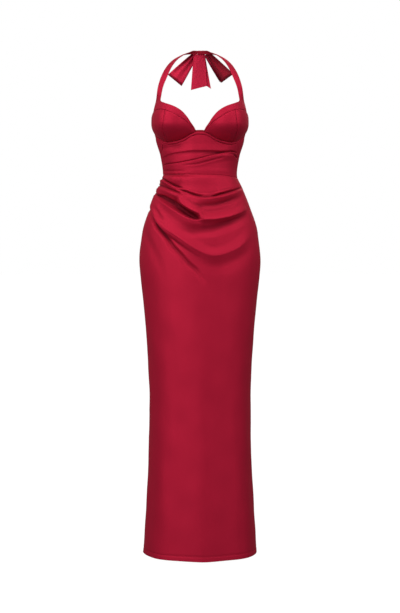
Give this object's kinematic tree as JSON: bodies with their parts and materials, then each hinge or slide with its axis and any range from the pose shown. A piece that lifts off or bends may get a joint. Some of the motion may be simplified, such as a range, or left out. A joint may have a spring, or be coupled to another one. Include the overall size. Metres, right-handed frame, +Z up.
{
  "type": "halter maxi dress",
  "caption": "Long red satin halter dress with seamed cups, a ruched midriff, a skirt draped to one side seam and a bow tied at the nape, filled out as worn.",
  "frame": {"origin": "inner face of the halter strap at the nape, where the neck holds the dress", "axes": "+Z up along the body, front of the dress towards -Y, +X to the right of someone who looks at the front"},
  "size_m": [0.3499, 0.2548, 1.4653],
  "materials": {
    "skirt_satin": "satin with a soft sheen",
    "bodice_satin": "satin with a soft sheen",
    "cup_satin": "satin with a soft sheen",
    "halter_satin": "satin with a soft sheen",
    "casing_satin": "satin with a soft sheen",
    "bow_satin": "satin with a soft sheen",
    "zip_enamel": "dark red enamel"
  },
  "bodies": {
    "dress": {"halter_left": "halter_satin", "cup_inner_left": "cup_satin", "cup_outer_left": "cup_satin", "bodice_side_left": "bodice_satin", "bodice_back_left": "bodice_satin", "skirt_back_left": "skirt_satin", "bow_loop_left": "bow_satin", "halter_right": "halter_satin", "cup_inner_right": "cup_satin", "cup_outer_right": "cup_satin", "bodice_side_right": "bodice_satin", "bodice_back_right": "bodice_satin", "skirt_back_right": "skirt_satin", "bow_loop_right": "bow_satin", "underbust_casing": "casing_satin", "midriff_front": "bodice_satin", "skirt_front": "skirt_satin", "bow_knot": "bow_satin", "bow_tail_front": "bow_satin", "bow_tail_back": "bow_satin", "zip_slider": "zip_enamel"},
    "zip_pull": {"zip_pull": "zip_enamel"}
  },
  "joints": [
    {"name": "zip_pull_hinge", "type": "hinge", "parent": "dress", "child": "zip_pull", "pos_m": [0, 0.02518, -0.30839], "axis": [1, 0, 0], "range_deg": [-4, 150]}
  ]
}
